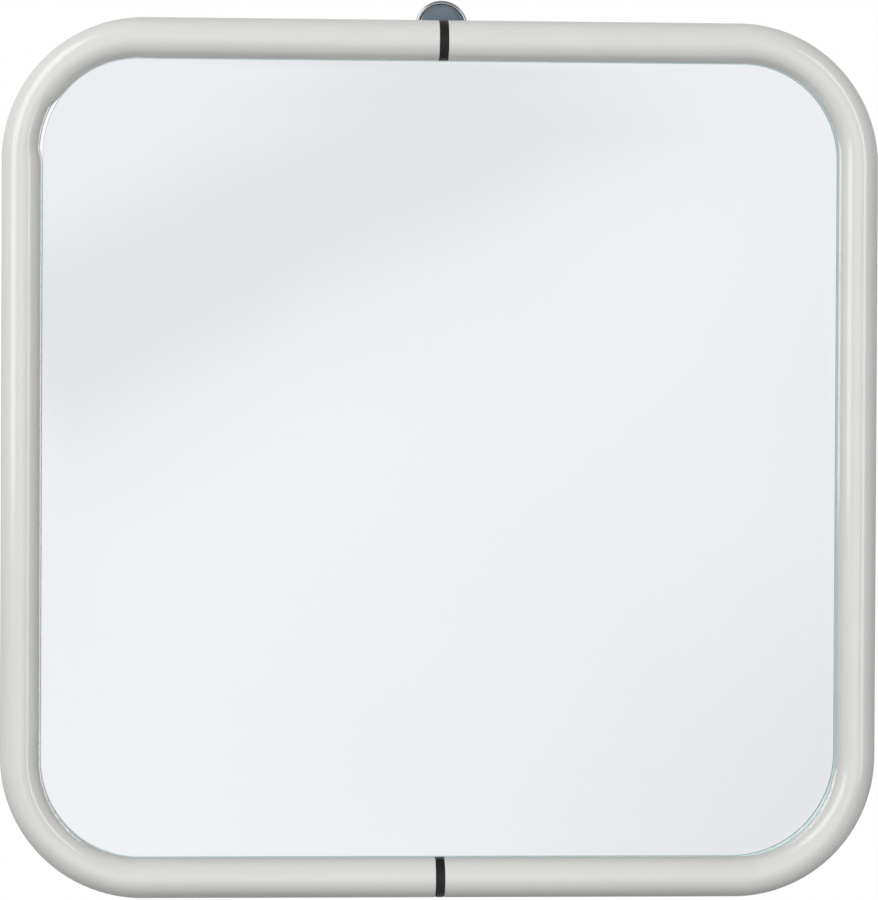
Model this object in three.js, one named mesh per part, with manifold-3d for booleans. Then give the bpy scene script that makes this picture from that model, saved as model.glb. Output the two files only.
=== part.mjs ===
// Wall mirror: a flat bevelled pane in a rounded-square frame of slotted round tube.
// The frame is two C-shaped halves on black joiners at the middle of the top and bottom runs.
// A ring hanger sits behind the top joint.
//
// Millimetres, +Z up, +X to the right and -Y to the front. The origin is on the wall's surface,
// where the inside of the hanger's ring bears on a wall hook.

import * as THREE from 'three';
import { mergeVertices } from 'three/addons/utils/BufferGeometryUtils.js';
import Module from 'manifold-3d';

const wasm = await Module();
wasm.setup();

const CLEARANCE = 0.3; // between pieces that touch

// Frame
const FRAME_SIZE = 480; // overall width and height
const TUBE_RADIUS = 11;
const TUBE_WALL = 1.5;
const BEND_RADIUS = 66; // at the tube's axis, three diameters
const COLLAR_WIDTH = 4.4; // black band between the tube ends
const SPIGOT_LENGTH = 38; // each side of the collar
const SLOT_FRONT = 3.5; // behind the tube's axis
const SLOT_BACK = 6.8;

// Pane, bonded to a board whose tongues sit in the slot of the tubes
const PANE_FRONT = - 0.5; // behind the tube's axis
const PANE_THICKNESS = 4;
const BEVEL_WIDTH = 6;
const BEVEL_DEPTH = 0.8;
const BOARD_THICKNESS = 2.5;
const BOARD_MARGIN = 1.5; // the board is smaller than the pane by this between its tongues
const TONGUE_LENGTH = 290;
const TONGUE_EDGE = 7; // from the tube's axis to the end of a tongue
const SEAT_DEPTH = 5.7; // flat of the joiners and packers, from the tube's axis
const PACKER_LENGTH = 30;
const PACKER_OFFSET = 100; // lower packers, from the middle of the lower run
const BEAD_LENGTH = 290;
const BEAD_REACH = 13.2; // from the tube's axis to the bead's thin edge
const BEAD_HEIGHT = 1.9; // off the back of the board

// Hanger
const WALL_GAP = 10; // from the back of the tube to the wall
const RING_RADIUS = 13.2; // to the middle of the wire
const WIRE_RADIUS = 1.3;
const RING_RISE = 8.9; // ring's centre above the axis of the top tube
const DISC_RADIUS = 11.9;
const PLATE_THICKNESS = 1.2;
const STRAP_HALF_LENGTH = 27;
const STRAP_HALF_HEIGHT = 7;
const SADDLE_HALF_HEIGHT = 8;
const SADDLE_THICKNESS = 2; // at the back of the tube
const CLIP_WIDTH = 5;
const CLIP_THICKNESS = 0.9;
const CLIP_BORE = 1.85;
const TAB_LENGTH = 10;
const RIVET_RISE = 7.4; // above the middle of the wire in the clip
const RIVET_RADIUS = 1.2;
const RIVET_HEAD_RADIUS = 2.4;
const RIVET_POCKET = 1.2; // depth in the saddle, round the rivet's front head

// Screws and bumpers
const SCREW_OFFSET = 20; // from the middle of the joint
const SCREW_RADIUS = 1.75;
const HEAD_RADIUS = 3.5;
const HEAD_HEIGHT = 2.2;
const RECESS_SPAN = 3.4; // cross recess, from tip to tip
const RECESS_WIDTH = 0.8;
const RECESS_DEPTH = 1.3;
const SCREW_TIP = - 1; // behind the tube's axis
const BUMPER_OFFSET = 140; // from the middle of the lower run
const BUMPER_RADIUS = 6.5;
const STEM_RADIUS = 2.2;
const BARB_RADIUS = 3;
const BARB_LENGTH = 2.6;

// Worked out from those, in the joint's own frame: its origin is on the axis of the top tube,
// at the middle of the top joint.
const SPAN = FRAME_SIZE - 2 * TUBE_RADIUS; // between the axes of opposite runs
const HALF_SPAN = SPAN / 2;
const BORE_RADIUS = TUBE_RADIUS - TUBE_WALL;
const SPIGOT_RADIUS = BORE_RADIUS - 2 * CLEARANCE;
const PANE_HALF = HALF_SPAN - TUBE_RADIUS - CLEARANCE;
const PANE_CORNER = BEND_RADIUS - TUBE_RADIUS - CLEARANCE;
const PANE_BACK = PANE_FRONT + PANE_THICKNESS;
const BOARD_FRONT = PANE_BACK + CLEARANCE;
const BOARD_BACK = BOARD_FRONT + BOARD_THICKNESS;
const WALL_Y = TUBE_RADIUS + WALL_GAP;
const SADDLE_BACK = TUBE_RADIUS + CLEARANCE + SADDLE_THICKNESS;
const PLATE_FRONT = SADDLE_BACK + CLEARANCE;
const PLATE_BACK = PLATE_FRONT + PLATE_THICKNESS;
const CLIP_RADIUS = CLIP_BORE + CLIP_THICKNESS;
const RING_Y = PLATE_BACK + CLEARANCE + CLIP_RADIUS;
const PIVOT_Z = RING_RISE - RING_RADIUS;
const RIVET_Z = PIVOT_Z + RIVET_RISE;
const HOOK_Z = RING_RISE + RING_RADIUS - WIRE_RADIUS; // inside top of the ring
const OVERSHOOT = 1; // of a cutter, past the faces that it opens

const enamel = material( 0xd9dad6, 0.25, 0 );
const blackPlastic = material( 0x1c1d1c, 0.45, 0 );
const silvered = material( 0xe6e8ea, 0.03, 1 );
const hardboard = material( 0x7a5c3c, 0.85, 0 );
const whitePlastic = material( 0xe4e4de, 0.5, 0 );
const chrome = material( 0xb9bbbd, 0.12, 1 );
const blueSteel = material( 0x5f6d78, 0.3, 1 );
const zinc = material( 0xb9bcc0, 0.35, 1 );
const rubber = material( 0x2a2a2a, 0.8, 0 );

function material( color, roughness, metalness ) {

	return new THREE.MeshStandardMaterial( { color, roughness, metalness } );

}

// Solids: joining and cutting

function toSolid( geometry ) {

	const plain = geometry.clone();
	plain.deleteAttribute( 'normal' );
	plain.deleteAttribute( 'uv' );
	const merged = mergeVertices( plain, 1e-4 );
	return new wasm.Manifold( new wasm.Mesh( {
		numProp: 3,
		vertProperties: merged.attributes.position.array,
		triVerts: new Uint32Array( merged.index.array ),
	} ) );

}

function toGeometry( solid ) {

	const mesh = solid.getMesh();
	const geometry = new THREE.BufferGeometry();
	geometry.setAttribute( 'position', new THREE.BufferAttribute( mesh.vertProperties, 3 ) );
	geometry.setIndex( new THREE.BufferAttribute( mesh.triVerts, 1 ) );
	geometry.computeVertexNormals();
	return geometry;

}

function cut( geometry, ...cutters ) {

	let solid = toSolid( geometry );
	for ( const cutter of cutters ) {

		solid = solid.subtract( toSolid( cutter ) );

	}

	return toGeometry( solid );

}

function join( ...geometries ) {

	return toGeometry( geometries.map( toSolid ).reduce( ( all, next ) => all.add( next ) ) );

}

// Outlines

// Points on an arc about (0, 0), with one at each whole step so that the extremes are kept.
function arc( radius, from, to, step = Math.PI / 12 ) {

	const sign = Math.sign( to - from );
	const angles = [ from ];
	const nudge = 1e-3 * sign;
	let k = sign > 0 ? Math.ceil( ( from + nudge ) / step ) : Math.floor( ( from + nudge ) / step );
	while ( ( to - nudge - k * step ) * sign > 0 ) {

		angles.push( k * step );
		k += sign;

	}

	angles.push( to );
	return angles.map( a => new THREE.Vector2( radius * Math.cos( a ), radius * Math.sin( a ) ) );

}

// Rounded rectangle about the origin, anticlockwise.
function roundedRectangle( halfWidth, halfHeight, radius, steps = 10 ) {

	const points = [];
	const corners = [ [ 1, 1 ], [ - 1, 1 ], [ - 1, - 1 ], [ 1, - 1 ] ];
	corners.forEach( ( [ sx, sy ], quarter ) => {

		for ( let i = 0; i <= steps; i ++ ) {

			const a = ( quarter + i / steps ) * Math.PI / 2;
			points.push( new THREE.Vector2(
				sx * ( halfWidth - radius ) + radius * Math.cos( a ),
				sy * ( halfHeight - radius ) + radius * Math.sin( a ),
			) );

		}

	} );
	return points;

}

// Solid shapes

// Closed solid between outlines of the same number of points, each at its own depth.
// An outline's (x, y) is the solid's (x, z), and its depth runs to the back.
function loft( outlines, depths ) {

	const count = outlines[ 0 ].length;
	const position = [];
	outlines.forEach( ( outline, k ) => outline.forEach( p => position.push( p.x, depths[ k ], p.y ) ) );
	const index = [];
	for ( let k = 0; k < outlines.length - 1; k ++ ) {

		for ( let i = 0; i < count; i ++ ) {

			const a = k * count + i;
			const b = k * count + ( i + 1 ) % count;
			index.push( a, a + count, b, b, a + count, b + count );

		}

	}

	const last = ( outlines.length - 1 ) * count;
	for ( const [ a, b, c ] of THREE.ShapeUtils.triangulateShape( outlines[ 0 ], [] ) ) {

		index.push( a, b, c );
		index.push( last + a, last + c, last + b );

	}

	const geometry = new THREE.BufferGeometry();
	geometry.setAttribute( 'position', new THREE.Float32BufferAttribute( position, 3 ) );
	geometry.setIndex( index );
	geometry.computeVertexNormals();
	return geometry;

}

// Prism along X, centred on the origin: a shape's (x, y) is the solid's (y, z).
function prismAlongX( shape, length, curveSegments ) {

	const geometry = new THREE.ExtrudeGeometry( shape, { depth: length, bevelEnabled: false, curveSegments } );
	geometry.translate( 0, 0, - length / 2 );
	geometry.rotateY( Math.PI / 2 );
	geometry.rotateX( Math.PI / 2 );
	return geometry;

}

// Solid of revolution about an axis along Y: a profile's (x, y) is (radius, depth to the back).
function turned( profile, segments = 20 ) {

	return new THREE.LatheGeometry( profile.map( p => new THREE.Vector2( ...p ) ), segments );

}

// Round bar or cutter along Y, from one depth to another.
function roundBar( x, z, radius, front, back, segments = 16 ) {

	const bar = new THREE.CylinderGeometry( radius, radius, back - front, segments );
	bar.translate( x, ( front + back ) / 2, z );
	return bar;

}

// Frame tubes

// Section of the slotted tube. Its x points into the frame and its y to the back, or to the
// front where back is -1.
function tubeSection( back ) {

	const outer = arc( TUBE_RADIUS, Math.asin( SLOT_BACK / TUBE_RADIUS ),
		2 * Math.PI + Math.asin( SLOT_FRONT / TUBE_RADIUS ) );
	const inner = arc( BORE_RADIUS, 2 * Math.PI + Math.asin( SLOT_FRONT / BORE_RADIUS ),
		Math.asin( SLOT_BACK / BORE_RADIUS ) );
	const points = [ ...outer, ...inner ];
	points.forEach( p => ( p.y *= back ) );
	return new THREE.Shape( points );

}

// Axis of one half of the frame, from the top joint round to the lower one. Its points fall
// only where the tube bends, and side is -1 on the left.
class HalfFrameAxis extends THREE.Curve {

	constructor( side, steps = 10 ) {

		super();
		this.side = side;
		const start = COLLAR_WIDTH / 2 + CLEARANCE;
		this.stations = [ [ start, 0, 0 ] ];
		for ( const z of [ - BEND_RADIUS, BEND_RADIUS - SPAN ] ) {

			const first = z === - BEND_RADIUS ? Math.PI / 2 : 0;
			for ( let i = 0; i <= steps; i ++ ) {

				const a = first - i / steps * Math.PI / 2;
				this.stations.push( [
					HALF_SPAN - BEND_RADIUS + BEND_RADIUS * Math.cos( a ),
					z + BEND_RADIUS * Math.sin( a ),
					Math.PI / 2 - a,
				] );

			}

		}

		this.stations.push( [ start, - SPAN, Math.PI ] );
		this.spans = this.stations.length - 1;

	}

	station( u ) {

		return this.stations[ Math.round( u * this.spans ) ];

	}

	getPoint( u ) {

		const [ x, z ] = this.station( u );
		return new THREE.Vector3( this.side * x, 0, z );

	}

	getPointAt( u ) {

		return this.getPoint( u );

	}

	getTangentAt( u ) {

		const turn = this.station( u )[ 2 ];
		return new THREE.Vector3( this.side * Math.cos( turn ), 0, - Math.sin( turn ) );

	}

}

function tubeHalf( side ) {

	const axis = new HalfFrameAxis( side );
	const tube = new THREE.ExtrudeGeometry( tubeSection( side ), { steps: axis.spans, extrudePath: axis } );
	const screwHole = SCREW_RADIUS + 2 * CLEARANCE;
	const through = [ BORE_RADIUS / 2, TUBE_RADIUS + OVERSHOOT ];
	return cut( tube,
		roundBar( side * SCREW_OFFSET, 0, screwHole, ...through ),
		roundBar( side * SCREW_OFFSET, - SPAN, screwHole, ...through ),
		roundBar( side * BUMPER_OFFSET, - SPAN, STEM_RADIUS + CLEARANCE, ...through ) );

}

// Section of a plug in the tube's bore, with a flat that carries the board's tongue. Its x points
// to the back and its y away from the pane.
function plugSection() {

	const open = Math.asin( SEAT_DEPTH / SPIGOT_RADIUS );
	return new THREE.Shape( arc( SPIGOT_RADIUS, - open, Math.PI + open ) );

}

// Collar of full tube size, notched where the board's tongue passes it.
function collarSection() {

	const points = arc( TUBE_RADIUS, - Math.acos( SLOT_BACK / TUBE_RADIUS ), 2 * Math.PI
		- Math.acos( SLOT_FRONT / TUBE_RADIUS ) );
	points.push( new THREE.Vector2( SLOT_FRONT, - SEAT_DEPTH ) );
	points.push( new THREE.Vector2( SLOT_BACK, - SEAT_DEPTH ) );
	return new THREE.Shape( points );

}

// Joiner with its pane side down, as it sits in the top joint.
function joiner() {

	const body = join(
		prismAlongX( collarSection(), COLLAR_WIDTH ),
		prismAlongX( plugSection(), COLLAR_WIDTH + 2 * SPIGOT_LENGTH ) );
	const pilot = SCREW_RADIUS + CLEARANCE;
	const depths = [ SCREW_TIP - OVERSHOOT, TUBE_RADIUS ];
	return cut( body,
		roundBar( - SCREW_OFFSET, 0, pilot, ...depths ),
		roundBar( SCREW_OFFSET, 0, pilot, ...depths ) );

}

// The same joiner turned over for the lower joint, kept the same way round from front to back.
function flippedJoiner() {

	const geometry = joiner();
	geometry.scale( 1, 1, - 1 );
	const index = geometry.index.array;
	for ( let i = 0; i < index.length; i += 3 ) {

		[ index[ i ], index[ i + 1 ] ] = [ index[ i + 1 ], index[ i ] ];

	}

	geometry.computeVertexNormals();
	return geometry;

}

// Pane, board and what holds them

function paneOutline( inset ) {

	return roundedRectangle( PANE_HALF - inset, PANE_HALF - inset, PANE_CORNER - inset );

}

function pane() {

	return loft(
		[ paneOutline( BEVEL_WIDTH ), paneOutline( 0 ), paneOutline( 0 ) ],
		[ PANE_FRONT, PANE_FRONT + BEVEL_DEPTH, PANE_BACK ] );

}

function board() {

	const outline = paneOutline( BOARD_MARGIN );
	const middle = ( BOARD_FRONT + BOARD_BACK ) / 2;
	const reach = 2 * ( HALF_SPAN - TONGUE_EDGE );
	const tongues = [ [ TONGUE_LENGTH, reach ], [ reach, TONGUE_LENGTH ] ].map( ( [ x, z ] ) =>
		new THREE.BoxGeometry( x, BOARD_THICKNESS, z ).translate( 0, middle, 0 ) );
	return join( loft( [ outline, outline ], [ BOARD_FRONT, BOARD_BACK ] ), ...tongues );

}

// Bead along X for the top run: it fills the corner between the tube and the back of the board.
function bead() {

	const touch = TUBE_RADIUS + CLEARANCE;
	const foot = BOARD_BACK + CLEARANCE;
	const lip = foot + BEAD_HEIGHT / 2;
	const section = new THREE.Shape( arc( touch, - Math.acos( foot / touch ), - Math.acos( lip / touch ) ) );
	section.quadraticCurveTo( foot + 1.5 * BEAD_HEIGHT, - BEAD_REACH, foot, - BEAD_REACH );
	return prismAlongX( section, BEAD_LENGTH, 4 );

}

// Hanger

function saddle() {

	const seat = TUBE_RADIUS + CLEARANCE;
	const edge = Math.asin( SADDLE_HALF_HEIGHT / seat );
	const points = arc( seat, edge, - edge, Math.PI / 24 );
	const chamfer = 1.2;
	points.push( new THREE.Vector2( SADDLE_BACK - chamfer, - SADDLE_HALF_HEIGHT ) );
	points.push( new THREE.Vector2( SADDLE_BACK, chamfer - SADDLE_HALF_HEIGHT ) );
	points.push( new THREE.Vector2( SADDLE_BACK, SADDLE_HALF_HEIGHT - chamfer ) );
	points.push( new THREE.Vector2( SADDLE_BACK - chamfer, SADDLE_HALF_HEIGHT ) );
	const block = prismAlongX( new THREE.Shape( points ), 2 * STRAP_HALF_LENGTH );
	const screwHole = SCREW_RADIUS + 2 * CLEARANCE;
	const through = [ TUBE_RADIUS - OVERSHOOT, SADDLE_BACK + OVERSHOOT ];
	return cut( block,
		roundBar( - SCREW_OFFSET, 0, screwHole, ...through ),
		roundBar( SCREW_OFFSET, 0, screwHole, ...through ),
		roundBar( 0, RIVET_Z, RIVET_HEAD_RADIUS + 2 * CLEARANCE,
			SADDLE_BACK - RIVET_POCKET, SADDLE_BACK + OVERSHOOT ) );

}

function hangerPlate() {

	const cornerRadius = 5;
	const strap = roundedRectangle( STRAP_HALF_LENGTH, STRAP_HALF_HEIGHT, cornerRadius, 5 );
	const disc = roundBar( 0, RING_RISE, DISC_RADIUS, PLATE_FRONT, PLATE_BACK, 48 );
	const sheet = join( loft( [ strap, strap ], [ PLATE_FRONT, PLATE_BACK ] ), disc );
	const through = [ PLATE_FRONT - OVERSHOOT, PLATE_BACK + OVERSHOOT ];
	return cut( sheet,
		roundBar( - SCREW_OFFSET, 0, SCREW_RADIUS + CLEARANCE, ...through ),
		roundBar( SCREW_OFFSET, 0, SCREW_RADIUS + CLEARANCE, ...through ),
		roundBar( 0, RIVET_Z, RIVET_RADIUS + CLEARANCE, ...through ) );

}

// Strap curled under the ring's wire, with a tab up the back of the plate. Made about the middle
// of the wire.
function hangerClip() {

	const curl = Math.PI / 2;
	const points = [
		new THREE.Vector2( - CLIP_RADIUS, TAB_LENGTH ),
		...arc( CLIP_RADIUS, - Math.PI, curl ),
		...arc( CLIP_BORE, curl, - Math.PI ),
		new THREE.Vector2( - CLIP_BORE, TAB_LENGTH ),
	];
	const strip = prismAlongX( new THREE.Shape( points ), CLIP_WIDTH );
	return cut( strip,
		roundBar( 0, RIVET_RISE, RIVET_RADIUS + CLEARANCE, - CLIP_RADIUS - OVERSHOOT, - CLIP_BORE + OVERSHOOT ) );

}

function hangerRivet() {

	const front = PLATE_FRONT - CLEARANCE;
	const back = PLATE_BACK + CLIP_THICKNESS + 2 * CLEARANCE;
	const rim = RIVET_HEAD_RADIUS;
	return turned( [
		[ 0, front - 0.6 ],
		[ rim - 0.3, front - 0.6 ],
		[ rim, front - 0.3 ],
		[ rim, front ],
		[ RIVET_RADIUS, front ],
		[ RIVET_RADIUS, back ],
		[ rim - 0.3, back ],
		[ rim - 0.5, back + 0.5 ],
		[ rim - 1.3, back + 0.9 ],
		[ 0, back + 1 ],
	] );

}

// Wire ring about its own centre, its lowest point in the clip.
function hangerRing() {

	const ring = new THREE.TorusGeometry( RING_RADIUS, WIRE_RADIUS, 12, 48 );
	ring.rotateX( Math.PI / 2 );
	return ring;

}

// Screw along Y with its head to the back, under its head at the given depth.
function screw( underHead ) {

	const top = underHead + HEAD_HEIGHT;
	const body = turned( [
		[ 0, SCREW_TIP - SCREW_RADIUS / 2 ],
		[ SCREW_RADIUS / 2, SCREW_TIP ],
		[ SCREW_RADIUS, SCREW_TIP + SCREW_RADIUS ],
		[ SCREW_RADIUS, underHead ],
		[ HEAD_RADIUS, underHead ],
		[ HEAD_RADIUS, underHead + 0.9 ],
		[ HEAD_RADIUS - 0.5, top - 0.5 ],
		[ HEAD_RADIUS - 1.6, top ],
		[ 0, top ],
	] );
	const blade = new THREE.BoxGeometry( RECESS_SPAN, 2 * RECESS_DEPTH, RECESS_WIDTH );
	blade.translate( 0, top, 0 );
	const crossBlade = blade.clone().rotateY( Math.PI / 2 );
	return cut( body, blade, crossBlade );

}

// Push-in bumper: a foot on the wall, a stem in the tube's wall and a barb in its bore.
function bumper() {

	const seat = TUBE_RADIUS + CLEARANCE;
	const barb = Math.sqrt( BORE_RADIUS ** 2 - BARB_RADIUS ** 2 ) - 2 * CLEARANCE;
	return turned( [
		[ 0, barb - BARB_LENGTH ],
		[ BARB_RADIUS / 2, barb - BARB_LENGTH ],
		[ BARB_RADIUS, barb - 0.6 ],
		[ BARB_RADIUS, barb ],
		[ STEM_RADIUS, barb ],
		[ STEM_RADIUS, seat ],
		[ BUMPER_RADIUS, seat ],
		[ BUMPER_RADIUS, WALL_Y - 2.4 ],
		[ BUMPER_RADIUS - 0.6, WALL_Y - 0.9 ],
		[ BUMPER_RADIUS - 1.5, WALL_Y ],
		[ 0, WALL_Y ],
	] );

}

// Assembly, in the joint's frame

const mirror = new THREE.Group();
mirror.position.set( 0, - WALL_Y, - HOOK_Z );

function add( name, geometry, surface, x = 0, y = 0, z = 0 ) {

	const mesh = new THREE.Mesh( geometry, surface.clone() );
	mesh.name = name;
	mesh.position.set( x, y, z );
	mirror.add( mesh );
	return mesh;

}

add( 'tube_left', tubeHalf( - 1 ), enamel );
add( 'tube_right', tubeHalf( 1 ), enamel );
add( 'joiner_top', joiner(), blackPlastic );
add( 'joiner_bottom', flippedJoiner(), blackPlastic, 0, 0, - SPAN );

add( 'mirror_glass', pane(), silvered, 0, 0, - HALF_SPAN );
add( 'backing_board', board(), hardboard, 0, 0, - HALF_SPAN );

// Each bead and packer is the top run's, turned about Y to its own run.
const runs = { top: 0, right: 1, bottom: 2, left: 3 };
for ( const [ name, quarter ] of Object.entries( runs ) ) {

	const turn = quarter * Math.PI / 2;
	const strip = add( `bead_${ name }`, bead(), whitePlastic,
		HALF_SPAN * Math.sin( turn ), 0, HALF_SPAN * ( Math.cos( turn ) - 1 ) );
	strip.rotation.y = turn;

}

const packers = {
	packer_side_right: [ HALF_SPAN, - HALF_SPAN, 1 ],
	packer_side_left: [ - HALF_SPAN, - HALF_SPAN, 3 ],
	packer_lower_right: [ PACKER_OFFSET, - SPAN, 2 ],
	packer_lower_left: [ - PACKER_OFFSET, - SPAN, 2 ],
};
for ( const [ name, [ x, z, quarter ] ] of Object.entries( packers ) ) {

	const packer = add( name, prismAlongX( plugSection(), PACKER_LENGTH ), whitePlastic, x, 0, z );
	packer.rotation.y = quarter * Math.PI / 2;

}

add( 'hanger_saddle', saddle(), blackPlastic );
add( 'hanger_plate', hangerPlate(), blueSteel );
add( 'hanger_clip', hangerClip(), zinc, 0, RING_Y, PIVOT_Z );
add( 'hanger_rivet', hangerRivet(), zinc, 0, 0, RIVET_Z );
add( 'hanger_ring', hangerRing(), chrome, 0, RING_Y, RING_RISE );

for ( const [ name, side ] of [ [ 'left', - 1 ], [ 'right', 1 ] ] ) {

	add( `hanger_screw_${ name }`, screw( PLATE_BACK + CLEARANCE ), zinc, side * SCREW_OFFSET );
	add( `joint_screw_${ name }`, screw( TUBE_RADIUS + CLEARANCE ), zinc,
		side * SCREW_OFFSET, 0, - SPAN );
	add( `bumper_${ name }`, bumper(), rubber, side * BUMPER_OFFSET, 0, - SPAN );

}

export default mirror;
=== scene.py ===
"""Looks of the tube-framed wall mirror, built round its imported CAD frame.

Lengths in the functions are metres, in the frame's own axes: +X right, -Y front, +Z up.
"""

from math import acos, asin, cos, pi, radians, sin, sqrt, tau

import bmesh
import bpy
from mathutils import Matrix, Vector

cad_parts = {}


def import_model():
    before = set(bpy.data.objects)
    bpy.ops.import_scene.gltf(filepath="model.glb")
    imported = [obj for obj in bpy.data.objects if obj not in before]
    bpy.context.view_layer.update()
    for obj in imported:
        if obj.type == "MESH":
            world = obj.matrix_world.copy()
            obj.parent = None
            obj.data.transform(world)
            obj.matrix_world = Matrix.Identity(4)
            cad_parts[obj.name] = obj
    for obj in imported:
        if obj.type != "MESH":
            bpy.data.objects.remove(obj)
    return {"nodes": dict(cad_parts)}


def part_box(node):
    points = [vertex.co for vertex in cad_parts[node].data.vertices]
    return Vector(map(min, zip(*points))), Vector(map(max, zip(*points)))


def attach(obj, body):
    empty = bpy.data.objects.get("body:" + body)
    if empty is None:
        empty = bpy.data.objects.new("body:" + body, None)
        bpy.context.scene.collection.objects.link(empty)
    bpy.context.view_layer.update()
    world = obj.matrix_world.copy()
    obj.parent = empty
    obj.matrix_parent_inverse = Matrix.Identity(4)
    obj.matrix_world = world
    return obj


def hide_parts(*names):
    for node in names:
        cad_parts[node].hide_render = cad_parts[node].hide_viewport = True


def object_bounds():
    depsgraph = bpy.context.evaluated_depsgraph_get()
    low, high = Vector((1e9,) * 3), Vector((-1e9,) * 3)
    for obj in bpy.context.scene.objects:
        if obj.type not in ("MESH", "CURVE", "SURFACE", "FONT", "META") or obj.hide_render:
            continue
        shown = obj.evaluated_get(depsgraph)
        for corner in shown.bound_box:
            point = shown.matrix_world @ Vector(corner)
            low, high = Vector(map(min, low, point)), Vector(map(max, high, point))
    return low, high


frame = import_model()
cad_low, cad_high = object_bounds()

MM = 0.001
CLEAR = 0.3 * MM  # between pieces that touch
PANE_CLEAR = 0.02 * MM  # the visual pane is ground to fit close between the tubes

# Places from the frame
tube_low, tube_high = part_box("tube_right")
TUBE = (tube_high.y - tube_low.y) / 2
AXIS_Y = (tube_high.y + tube_low.y) / 2
TOP = tube_high.z - TUBE
BOTTOM = tube_low.z + TUBE
HALF = tube_high.x - TUBE
TUBE_END = tube_low.x
MIDDLE = Vector((0, AXIS_Y, (TOP + BOTTOM) / 2))
pane_low, pane_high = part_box("mirror_glass")
PANE_MIDDLE = (pane_low + pane_high) / 2
PANE_HALF = (pane_high.x - pane_low.x) / 2 + CLEAR - PANE_CLEAR

# Design sizes, the same as the CAD part's
WALL = 1.5 * MM
BEND = 66 * MM
SLOT_FRONT = 3.5 * MM
SLOT_BACK = 6.8 * MM
BEVEL_WIDTH = 6 * MM
BOARD_MARGIN = 1.5 * MM
TONGUE_HALF = 145 * MM
SEAT_DEPTH = 5.7 * MM
SCREW_OFFSET = 20 * MM
BUMPER_OFFSET = 140 * MM
RING_WIRE = 1.3 * MM
DISC = 11.9 * MM

# Sizes of the looks alone. Sets of four go anticlockwise from the upper right corner.
BEVEL_DEPTH = 0.4 * MM  # half the CAD's: so slight that the bevel shows nearly what the flat does
ARRIS = 0.25 * MM  # ground edge that shows round the bevel
ARRIS_GROWTH = (0.3 * MM, 0, 0, 2.4 * MM)  # how much rounder the bevel's corners are than the pane's
SQUEEZED = (1.1 * MM, 1.3 * MM, 0.5 * MM, 0.2 * MM)  # how far bending pushed in each bend's inside
OUTER_SQUEEZED = 0.3 * MM  # and each bend's outside
DENT = 1.4 * MM  # in the inside of the upper left bend, where light shows past the pane
DENT_SPAN = (0.58, 0.68, 0.93, 1.02)  # its start, full depth from and to, and end, as shares of the bend
LIP = 0.25 * MM  # small radius on sheared edges
SCREW_HOLE = 2.35 * MM
RIVET_HOLE = 1.5 * MM


# ---------------------------------------------------------------- meshes

def shade_smooth(mesh, angle=radians(28)):
    """Smooth shading, with edges sharper than the angle left sharp."""
    mesh.polygons.foreach_set("use_smooth", [True] * len(mesh.polygons))
    mesh.set_sharp_from_angle(angle=angle)


def new_piece(name, bm, materials, node, body="frame", smooth=radians(28)):
    """An object from a bmesh, riding on a body and standing for a CAD node."""
    bmesh.ops.recalc_face_normals(bm, faces=bm.faces)
    mesh = bpy.data.meshes.new(name)
    bm.to_mesh(mesh)
    bm.free()
    for material in materials:
        mesh.materials.append(material)
    shade_smooth(mesh, smooth)
    piece = bpy.data.objects.new(name, mesh)
    bpy.context.scene.collection.objects.link(piece)
    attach(piece, body)
    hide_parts(node)
    return piece


def bridge(bm, rings):
    """Quads between rings of the same number of points, with a cap on each end."""
    loops = [[bm.verts.new(p) for p in ring] for ring in rings]
    count = len(loops[0])
    for first, second in zip(loops, loops[1:]):
        for i in range(count):
            j = (i + 1) % count
            bm.faces.new((first[i], first[j], second[j], second[i]))
    bm.faces.new(loops[0])
    bm.faces.new(loops[-1][::-1])


def turned(profile, segments=64, centre=(0, 0)):
    """Solid of revolution about an axis along Y through centre (x, z), from (radius, y) pairs that
    start and end on the axis."""
    bm = bmesh.new()
    cx, cz = centre
    ends = [bm.verts.new((cx, profile[k][1], cz)) for k in (0, -1)]
    rings = []
    for radius, y in profile[1:-1]:
        ring = []
        for i in range(segments):
            a = tau * i / segments
            ring.append(bm.verts.new((cx + radius * cos(a), y, cz + radius * sin(a))))
        rings.append(ring)
    for i in range(segments):
        j = (i + 1) % segments
        bm.faces.new((ends[0], rings[0][i], rings[0][j]))
        bm.faces.new((ends[1], rings[-1][j], rings[-1][i]))
        for first, second in zip(rings, rings[1:]):
            bm.faces.new((first[i], second[i], second[j], first[j]))
    return bm


def rounded_corner(profile, k, radius, steps=4):
    """The arc-like points that replace corner k of an open outline."""
    before, corner, after = (Vector(profile[i]) for i in (k - 1, k, k + 1))
    start = corner + (before - corner).normalized() * radius
    end = corner + (after - corner).normalized() * radius
    points = []
    for i in range(steps + 1):
        t = i / steps
        points.append(tuple(start * (1 - t) ** 2 + corner * 2 * t * (1 - t) + end * t ** 2))
    return points


def with_rounded(profile, radii):
    """An open outline with some corners rounded: radii maps a corner's number to its radius."""
    out = []
    for k, point in enumerate(profile):
        if k in radii:
            out.extend(rounded_corner(profile, k, radii[k]))
        else:
            out.append(point)
    return out


def rounded_square(half_x, half_z, radii, steps=24):
    """Outline of a rounded rectangle about (0, 0), anticlockwise from its upper right corner, with
    one radius or four."""
    if isinstance(radii, float):
        radii = (radii,) * 4
    points = []
    for quarter, (sx, sz) in enumerate(((1, 1), (-1, 1), (-1, -1), (1, -1))):
        radius = radii[quarter]
        for i in range(steps + 1):
            a = (quarter + i / steps) * pi / 2
            points.append((sx * (half_x - radius) + radius * cos(a),
                           sz * (half_z - radius) + radius * sin(a)))
    return points


def slab(outlines, centre):
    """Closed solid between outlines of the same number of points, given as (outline, y)."""
    bm = bmesh.new()
    rings = [[(centre.x + x, y, centre.z + z) for x, z in outline] for outline, y in outlines]
    bridge(bm, rings)
    return bm


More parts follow.
